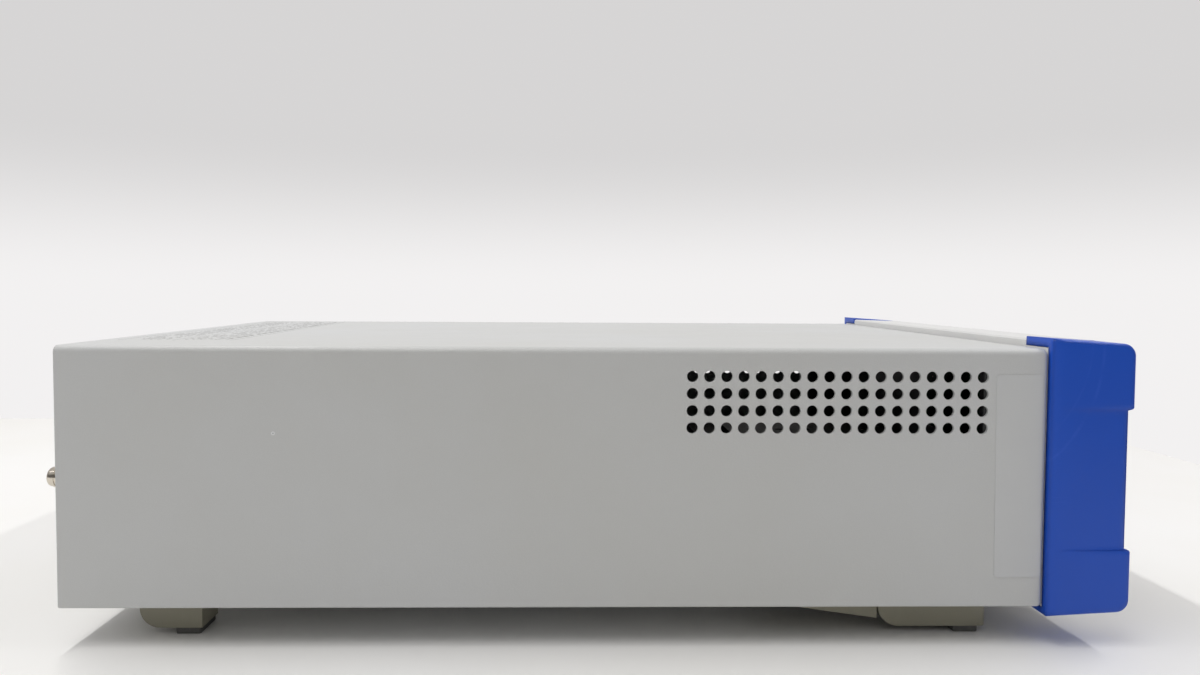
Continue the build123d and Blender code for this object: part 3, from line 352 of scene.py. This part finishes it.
BY_NODE = {
    "cover_sleeve": "cover", "rear_panel": "panel", "side_labels": "label", "bumper_left": "blue", "bumper_right": "blue",
    "front_bezel": "white", "indicator_lenses": "lens", "display_window": "window", "lcd_module": "lcd",
    "display_board": "board", "main_board": "board", "power_supply_board": "board", "keypad_mat": "mat", "standby_key": "key",
    "input_ab_jacks": "nickel", "input_c_jack": "nickel", "rear_jacks": "nickel", "jack_nuts": "nickel", "cover_screws": "nickel",
    "rear_panel_screws": "nickel", "fan_guard": "nickel", "inlet_pins": "nickel", "bus_connector": "nickel", "usb_socket": "nickel",
    "foot_screws": "zinc", "leg_pins": "zinc", "standoffs": "zinc", "jack_insulators": "insulator", "jack_contacts": "gold",
    "fan_frame": "black", "fan_rotor": "black", "mains_inlet": "black", "fuse_drawer": "black", "bus_connector_core": "black",
    "chassis_tray": "galv", "front_subpanel": "flange", "screening_cans": "tin", "timebase_oven": "tin", "heat_sink": "fins",
    "board_components": "chip", "power_supply_parts": "chip", "display_cable": "cable",
    "front_feet": "foot", "rear_feet": "foot", "tilt_leg_left": "foot", "tilt_leg_right": "foot", "foot_pads": "rubber",
}
for n, o in nodes.items():
    m = MATS[BY_NODE.get(n, "key" if n.startswith("key_") else "black")]
    if not o.material_slots:
        o.data.materials.append(m)
    for s in o.material_slots:
        s.material = m


# ------------------------------------------------------------------ printed and displayed marks
def flat_mesh(name, polys, thick, material, body):
    """polys: lists of 3-D points in one plane, counter-clockwise seen from outside, each raised by thick along its normal."""
    bm = bmesh.new()
    for pts in polys:
        vs = [bm.verts.new(p) for p in pts]
        f = bm.faces.new(vs)
        f.normal_update()
        n = f.normal.copy()
        top = [bm.verts.new(Vector(p) + n * thick) for p in pts]
        bm.faces.new(top)
        k = len(pts)
        for i in range(k):
            j = (i + 1) % k
            bm.faces.new([vs[i], vs[j], top[j], top[i]])
        f.normal_flip()
    me = bpy.data.meshes.new(name)
    bm.to_mesh(me)
    bm.free()
    me.materials.append(material)
    o = bpy.data.objects.new(name, me)
    scene.collection.objects.link(o)
    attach(o, body)
    return o


def quad_y(x0, x1, z0, z1, y, out):
    """Rectangle in a plane of constant Y. out -1 faces the front, +1 faces the rear."""
    pts = [Vector((x0, y, z0)), Vector((x1, y, z0)), Vector((x1, y, z1)), Vector((x0, y, z1))]
    return pts if out < 0 else pts[::-1]


def quad_z(x0, x1, y0, y1, z):
    return [Vector((x0, y0, z)), Vector((x1, y0, z)), Vector((x1, y1, z)), Vector((x0, y1, z))]


def frame_y(x0, x1, z0, z1, w, y, out):
    return [quad_y(x0, x1, z0, z0 + w, y, out), quad_y(x0, x1, z1 - w, z1, y, out),
            quad_y(x0, x0 + w, z0 + w, z1 - w, y, out), quad_y(x1 - w, x1, z0 + w, z1 - w, y, out)]


def ring_y(x, z, r, w, y, out, n=48):
    polys = []
    for i in range(n):
        a, b = 2 * math.pi * i / n, 2 * math.pi * (i + 1) / n
        pts = [Vector((x + r * math.cos(a), y, z + r * math.sin(a))), Vector((x + (r + w) * math.cos(a), y, z + (r + w) * math.sin(a))),
               Vector((x + (r + w) * math.cos(b), y, z + (r + w) * math.sin(b))), Vector((x + r * math.cos(b), y, z + r * math.sin(b)))]
        polys.append(pts if out < 0 else pts[::-1])
    return polys


def text_y(name, body_text, x, z, size, y, material, body, out=-1, thick=0.00003):
    """A raised character string centred on (x, z) on a plane of constant Y."""
    cu = bpy.data.curves.new(name, "FONT")
    cu.body = body_text
    cu.size = size
    cu.align_x = "CENTER"
    cu.align_y = "CENTER"
    cu.extrude = thick
    cu.resolution_u = 4
    tmp = bpy.data.objects.new(name + "_tmp", cu)
    scene.collection.objects.link(tmp)
    bpy.context.view_layer.update()
    me = bpy.data.meshes.new_from_object(tmp.evaluated_get(bpy.context.evaluated_depsgraph_get()))
    bpy.data.objects.remove(tmp)
    rot = Matrix.Rotation(math.radians(90), 4, "X")
    if out > 0:
        rot = Matrix.Rotation(math.radians(180), 4, "Z") @ rot
    me.transform(Matrix.Translation((x, y, z)) @ rot)
    me.name = name
    me.materials.clear()
    me.materials.append(material)
    o = bpy.data.objects.new(name, me)
    scene.collection.objects.link(o)
    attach(o, body)
    return o


def centre(node):
    a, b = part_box(node)
    return (a + b) / 2, a, b


# key legends
for n in sorted(nodes):
    if not n.startswith("key_"):
        continue
    c, a, b = centre(n)
    name = n[4:]
    y = a.y
    if name.isdigit():
        text_y("legend_" + name, name, c.x, c.z, 0.0056, y, MATS["ink_white"], n)
    elif name == "menu":
        polys = [quad_y(c.x - 0.0022, c.x + 0.0022, c.z + k * 0.0014 - 0.00025, c.z + k * 0.0014 + 0.00025, y, -1) for k in (-1, 0, 1)]
        flat_mesh("legend_menu", polys, 0.00003, MATS["ink_white"], n)
    else:
        w = 0.00028
        polys = [quad_y(c.x - 0.0020, c.x + 0.0024, c.z - 0.0006 - w, c.z - 0.0006 + w, y, -1),
                 quad_y(c.x + 0.0024 - 2 * w, c.x + 0.0024, c.z - 0.0006 + w, c.z + 0.0016, y, -1),
                 [Vector((c.x - 0.0032, y, c.z - 0.0006)), Vector((c.x - 0.0018, y, c.z - 0.0016)), Vector((c.x - 0.0018, y, c.z + 0.0004))]]
        flat_mesh("legend_enter", polys, 0.00003, MATS["ink_white"], n)
c, a, b = centre("standby_key")
polys = [p for i, p in enumerate(ring_y(c.x, c.z, 0.0017, 0.0005, a.y, -1)) if not 9 <= i <= 14]
polys.append(quad_y(c.x - 0.00025, c.x + 0.00025, c.z + 0.0006, c.z + 0.0027, a.y, -1))
flat_mesh("legend_standby", polys, 0.00003, MATS["ink_white"], "standby_key")

# front panel print
bez_lo, bez_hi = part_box("front_bezel")
PY = bez_lo.y + 2.0 * MM
jack_lo, jack_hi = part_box("input_ab_jacks")
jz = (jack_lo.z + jack_hi.z) / 2
xa = jack_lo.x + 7.6 * MM
xb = jack_hi.x - 7.6 * MM
cc, ca, cb = centre("input_c_jack")
win_lo, win_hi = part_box("display_window")
w = 0.3 * MM
polys = frame_y(win_lo.x - 1.4 * MM, win_hi.x + 1.4 * MM, win_lo.z - 1.4 * MM, win_hi.z + 1.4 * MM, 0.6 * MM, PY, -1)
for x0, x1 in ((xa - 14 * MM, xa + 14 * MM), (xb - 14 * MM, xb + 14 * MM), (cc.x - 15 * MM, cc.x + 15 * MM)):
    polys += frame_y(x0, x1, jz - 13.5 * MM, jz + 18.5 * MM, w, PY, -1)
flat_mesh("panel_outlines", polys, 0.00003, MATS["ink_blue"], "instrument")
text_y("panel_letter_a", "A", xa - 10.2 * MM, jz + 14.6 * MM, 0.0052, PY, MATS["ink_dark"], "instrument")
text_y("panel_letter_b", "B", xb - 10.2 * MM, jz + 14.6 * MM, 0.0052, PY, MATS["ink_dark"], "instrument")
text_y("panel_letter_c", "C", cc.x - 11.0 * MM, jz + 14.6 * MM, 0.0052, PY, MATS["ink_dark"], "instrument")
lens_lo, lens_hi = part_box("indicator_lenses")
for i, x in enumerate((56.0, 68.0, 80.0)):
    text_y("panel_number_%d" % (i + 1), str(i + 1), x * MM, lens_lo.z + 6.0 * MM, 0.0030, PY, MATS["ink_dark"], "instrument")

# display: seven-segment figures and a bar line
lcd_lo, lcd_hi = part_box("lcd_module")
LY = lcd_lo.y + 0.4 * MM
SEG = {"0": "abcdef", "1": "bc", "2": "abged", "3": "abgcd", "4": "fgbc", "5": "afgcd", "6": "afgedc", "7": "abc", "8": "abcdefg", "9": "abcfgd"}


def digit(ch, x, z, h, y):
    wd, t, s = h * 0.52, h * 0.105, h * 0.08
    hh = h / 2
    out = []

    def hbar(zc):
        return [Vector((x + s, y, zc)), Vector((x + s + t / 2, y, zc - t / 2)), Vector((x + wd - s - t / 2, y, zc - t / 2)), Vector((x + wd - s, y, zc)),
                Vector((x + wd - s - t / 2, y, zc + t / 2)), Vector((x + s + t / 2, y, zc + t / 2))]

    def vbar(xc, z0, z1):
        return [Vector((xc, y, z0)), Vector((xc + t / 2, y, z0 + t / 2)), Vector((xc + t / 2, y, z1 - t / 2)), Vector((xc, y, z1)),
                Vector((xc - t / 2, y, z1 - t / 2)), Vector((xc - t / 2, y, z0 + t / 2))]
    lean = 0.12
    for k in SEG[ch]:
        p = {"a": lambda: hbar(z + h), "g": lambda: hbar(z + hh), "d": lambda: hbar(z),
             "f": lambda: vbar(x + t * 0.2, z + hh + s * 0.6, z + h - s * 0.6), "b": lambda: vbar(x + wd - t * 0.2, z + hh + s * 0.6, z + h - s * 0.6),
             "e": lambda: vbar(x + t * 0.2, z + s * 0.6, z + hh - s * 0.6), "c": lambda: vbar(x + wd - t * 0.2, z + s * 0.6, z + hh - s * 0.6)}[k]()
        out.append([Vector((q.x + (q.z - z) * lean, q.y, q.z)) for q in p])
    return out


polys = []
h = 14.0 * MM
x = lcd_lo.x + 7.0 * MM
z = lcd_lo.z + 12.5 * MM
for i, ch in enumerate("10000000"):
    polys += digit(ch, x, z, h, LY)
    x += h * 0.70
    if i in (1, 4):
        polys.append(quad_y(x - h * 0.13, x - h * 0.02, z - h * 0.04, z + h * 0.07, LY, -1))
        x += h * 0.12
for i in range(40):
    if i < 26:
        polys.append(quad_y(lcd_lo.x + 7.0 * MM + i * 2.0 * MM, lcd_lo.x + 8.3 * MM + i * 2.0 * MM, lcd_lo.z + 6.0 * MM, lcd_lo.z + 8.4 * MM, LY, -1))
flat_mesh("display_figures", polys, 0.00003, MATS["segment"], "instrument")

# rows of plain bars on the top cover near its rear, where a printed table would be
TOP = side[1].z
polys = []
for row_y, height, length in ((11.6, 0.7, 0.6), (14.4, 0.7, 0.9), (17.2, 0.7, 0.7), (20.0, 0.7, 0.7), (22.8, 0.7, 0.5), (30.6, 0.7, 0.6), (33.4, 0.7, 0.6), (36.2, 0.7, 0.5),
                             (39.0, 0.7, 0.7), (41.8, 0.7, 0.5), (45.2, 1.2, 1.0)):
    x = -72.0
    y0 = side[1].y - row_y * MM
    while x < 88.0:
        run = rng.uniform(0.5, 2.6)
        if x + run > 90.0:
            break
        if rng.random() < 0.42 + 0.5 * length:
            polys.append(quad_z(x * MM, (x + run) * MM, y0 - height * MM / 2, y0 + height * MM / 2, TOP))
        x += run + (rng.uniform(0.25, 0.5) if rng.random() < 0.8 else rng.uniform(0.8, 2.4))
for yy in (7.0, 27.4, 49.0):
    polys.append(quad_z(-76 * MM, 93 * MM, side[1].y - yy * MM - 0.12 * MM, side[1].y - yy * MM + 0.12 * MM, TOP))
flat_mesh("cover_print", polys, 0.00002, MATS["ink_grey"], "instrument")

# rear panel print
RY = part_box("rear_panel")[1].y
rj_lo, rj_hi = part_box("rear_jacks")
rz = (rj_lo.z + rj_hi.z) / 2
polys = []
for i in range(3):
    xx = rj_lo.x + 7.6 * MM + i * 21.0 * MM
    polys += frame_y(xx - 9.5 * MM, xx + 9.5 * MM, rz - 11.5 * MM, rz + 13.0 * MM, 0.25 * MM, RY, 1)
in_lo, in_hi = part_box("mains_inlet")
polys += frame_y(in_lo.x - 2.0 * MM, in_hi.x + 2.0 * MM, in_lo.z - 2.0 * MM, in_hi.z + 2.0 * MM, 0.25 * MM, RY, 1)
flat_mesh("rear_outlines", polys, 0.00003, MATS["ink_dark"], "instrument")
for i, ch in enumerate(("1", "2", "3")):
    text_y("rear_number_%s" % ch, ch, rj_lo.x + 7.6 * MM + i * 21.0 * MM, rz + 10.6 * MM, 0.0034, RY, MATS["ink_dark"], "instrument", 1)


# ------------------------------------------------------------------ stage
def table_material():
    m = Mat("table_top")
    col = varied(m, (0.862, 0.861, 0.858, 1), 0.012, 3.0)
    col = m.mix(m.remap(m.noise(260, 6, 0.75), 0.66, 0.8, 0.0, 0.10), col, (0.55, 0.52, 0.48, 1))
    m.set(Base_Color=col)
    m.put(m.b.inputs["Roughness"], m.remap(m.noise(6, 4), 0.3, 0.7, 0.46, 0.56))
    m.put(m.b.inputs["Specular IOR Level"], 0.3)
    m.bump(m.noise(900, 3, 0.5), 0.00005, 0.3)
    return m.m


bm = bmesh.new()
X0, X1, Y0, Y1, T = -1.60, 0.405, -0.457, 1.50, 0.03
bmesh.ops.create_cube(bm, size=1.0, matrix=Matrix.Translation(((X0 + X1) / 2, (Y0 + Y1) / 2, -T / 2)) @ Matrix.Diagonal((X1 - X0, Y1 - Y0, T, 1)))
bmesh.ops.bevel(bm, geom=bm.edges[:], offset=0.003, segments=3, affect="EDGES", profile=0.5)
me = bpy.data.meshes.new("table")
bm.to_mesh(me)
bm.free()
me.materials.append(table_material())
table = bpy.data.objects.new("table", me)
scene.collection.objects.link(table)


def area(name, loc, size, power, target=(0, 0, 0.05), color=(1, 1, 1), size_y=None):
    l = bpy.data.lights.new(name, "AREA")
    l.shape = "RECTANGLE"
    l.size = size
    l.size_y = size_y or size
    l.energy = power
    l.color = color
    o = bpy.data.objects.new(name, l)
    o.location = loc
    o.rotation_euler = (Vector(target) - Vector(loc)).to_track_quat("-Z", "Y").to_euler()
    scene.collection.objects.link(o)
    return o


# two long ceiling lamps across the width, one ahead and one behind
area("lamp_front", (0.25, -1.42, 1.65), 1.3, 11.0, (0.25, 0.0, 0.05), (1.0, 0.99, 0.98), 0.05)
area("lamp_rear", (0.30, 0.67, 1.65), 1.3, 11.5, (0.30, 0.0, 0.05), (1.0, 0.99, 0.98), 0.05)
# and a broad soft one high up on the camera's side
area("panel_soft", (-0.75, 0.60, 1.80), 0.9, 9.1, (-0.15, 0.0, 0.0), (1.0, 0.998, 0.99), 0.9)

world = bpy.data.worlds.new("studio")
scene.world = world
world.use_nodes = True
wt = world.node_tree
wt.nodes.clear()
wo = wt.nodes.new("ShaderNodeOutputWorld")
bg = wt.nodes.new("ShaderNodeBackground")
sp = wt.nodes.new("ShaderNodeSeparateXYZ")
wt.links.new(wt.nodes.new("ShaderNodeTexCoord").outputs["Generated"], sp.inputs[0])


def wmath(op, a, b=0.0, clamp=False):
    n = wt.nodes.new("ShaderNodeMath")
    n.operation = op
    n.use_clamp = clamp
    for i, v in enumerate((a, b)):
        if isinstance(v, bpy.types.NodeSocket):
            wt.links.new(v, n.inputs[i])
        else:
            n.inputs[i].default_value = v
    return n.outputs[0]


def wstep(v, lo, hi):
    n = wt.nodes.new("ShaderNodeMapRange")
    n.interpolation_type = "SMOOTHSTEP"
    wt.links.new(v, n.inputs["Value"])
    n.inputs["From Min"].default_value = lo
    n.inputs["From Max"].default_value = hi
    return n.outputs[0]


# pale walls all round, one behind the object and one behind the camera, and a dimmer ceiling
low = wmath("SUBTRACT", 1.0, wstep(sp.outputs[2], 0.34, 0.62))
high = wstep(sp.outputs[2], 0.34, 0.62)
behind = wstep(sp.outputs[0], -0.30, 0.78)
facing = wmath("SUBTRACT", 1.0, wstep(sp.outputs[0], -0.85, -0.10))
sides = wmath("SUBTRACT", wmath("SUBTRACT", 1.0, behind), facing, True)
total = None
for label, weight, strength in (("wall_behind", wmath("MULTIPLY", low, behind), 0.70), ("wall_facing", wmath("MULTIPLY", low, facing), 0.145),
                                ("wall_sides", wmath("MULTIPLY", low, sides), 0.278), ("ceiling", high, 0.557)):
    term = wmath("MULTIPLY", weight, strength)
    term.node.label = label
    total = term if total is None else wmath("ADD", total, term)
# the wall is a little brighter low down
total = wmath("MULTIPLY", total, wmath("ADD", 0.965, wmath("MULTIPLY", wmath("SUBTRACT", 1.0, wstep(sp.outputs[2], 0.0, 0.17)), 0.31)))
tint = wt.nodes.new("ShaderNodeCombineColor")
wt.links.new(wmath("MULTIPLY", total, 1.0), tint.inputs[0])
wt.links.new(wmath("MULTIPLY", total, 0.985), tint.inputs[1])
wt.links.new(wmath("MULTIPLY", total, 0.985), tint.inputs[2])
wt.links.new(tint.outputs[0], bg.inputs[0])
bg.inputs[1].default_value = 1.0
wt.links.new(bg.outputs[0], wo.inputs[0])

# ------------------------------------------------------------------ camera
YAW, PITCH, ROLL = 0.0198, 0.0398, -0.00543
cyw, syw = math.cos(YAW), math.sin(YAW)
cp, spn = math.cos(PITCH), math.sin(PITCH)
cr, sr = math.cos(ROLL), math.sin(ROLL)


def turn(s, d, z):
    """From forward-of-case, depth and height to the row frame's directions."""
    return Vector((d, -s, z))


F = turn(syw * cp, cyw * cp, -spn)
U0 = turn(syw * spn, cyw * spn, cp)
R0 = turn(cyw, -syw, 0)
R = R0 * cr - U0 * sr
U = R0 * sr + U0 * cr
cam = bpy.data.cameras.new("camera")
cam.sensor_fit = "HORIZONTAL"
cam.sensor_width = 36.0
cam.lens = 25.07
cam.shift_x = 0.0190
cam.shift_y = -0.01345
cam.clip_start = 0.01
cam.clip_end = 50.0
co = bpy.data.objects.new("camera", cam)
front_edge = side[0].y
co.matrix_world = Matrix(((R.x, U.x, -F.x, side[0].x - 0.28845),
                          (R.y, U.y, -F.y, front_edge + 0.17125),
                          (R.z, U.z, -F.z, TOP + 0.02045),
                          (0, 0, 0, 1)))
scene.collection.objects.link(co)
scene.camera = co
scene.view_settings.view_transform = "Standard"
scene.view_settings.look = "None"
scene.view_settings.exposure = 0.0
scene.view_settings.gamma = 1.0
